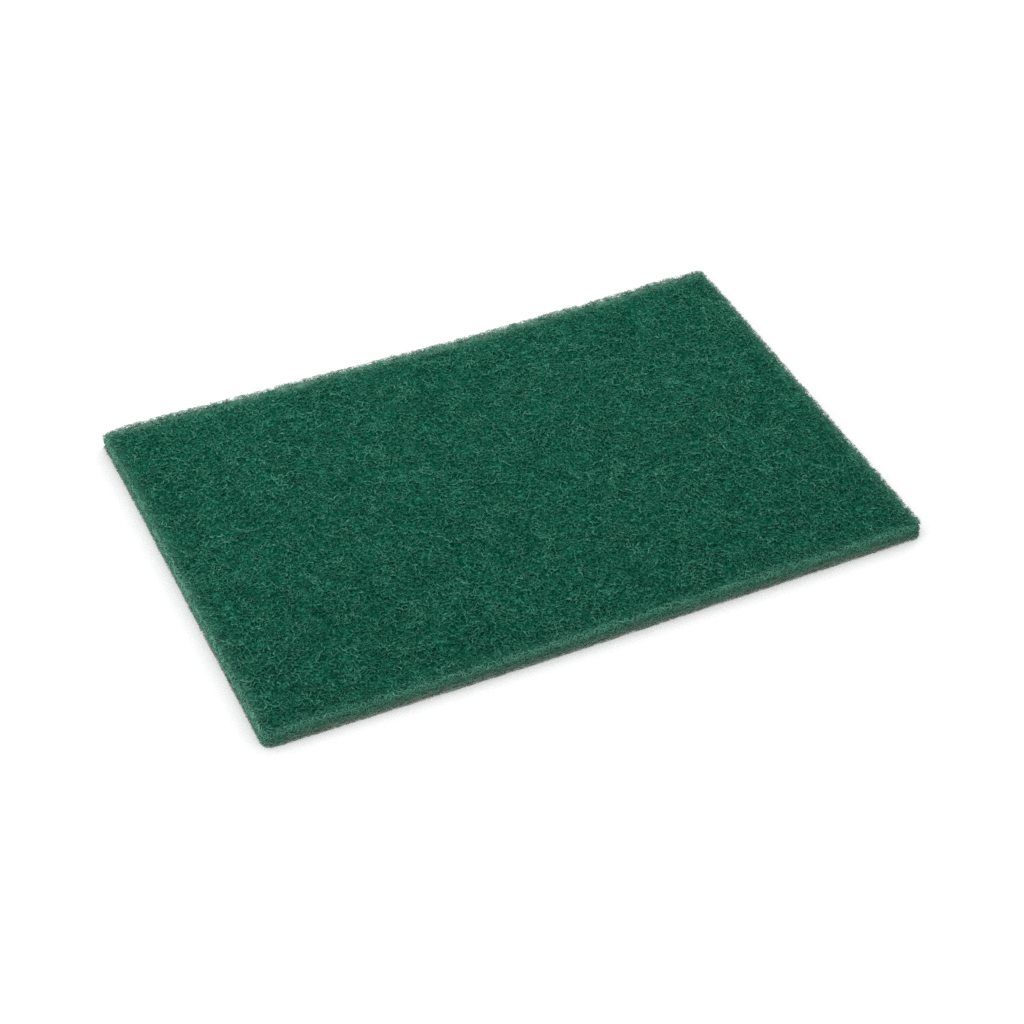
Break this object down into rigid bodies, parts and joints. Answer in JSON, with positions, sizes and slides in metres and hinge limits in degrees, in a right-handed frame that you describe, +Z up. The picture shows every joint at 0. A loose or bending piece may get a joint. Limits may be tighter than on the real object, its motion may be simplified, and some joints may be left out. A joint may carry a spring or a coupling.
{
  "type": "scouring pad",
  "caption": "Flat rectangular scouring pad of bonded green fibre web, with cut fuzzy edges and slightly rounded corners.",
  "frame": {"origin": "centre of the pad's footprint, on its flat underside", "axes": "+X along the long side, +Y along the short side towards the back edge, +Z up out of the upper face"},
  "size_m": [0.2302, 0.1512, 0.0062],
  "materials": {
    "green_web": "matt resin-coated fibre"
  },
  "bodies": {
    "root": {"scouring_pad": "green_web"}
  },
  "joints": []
}
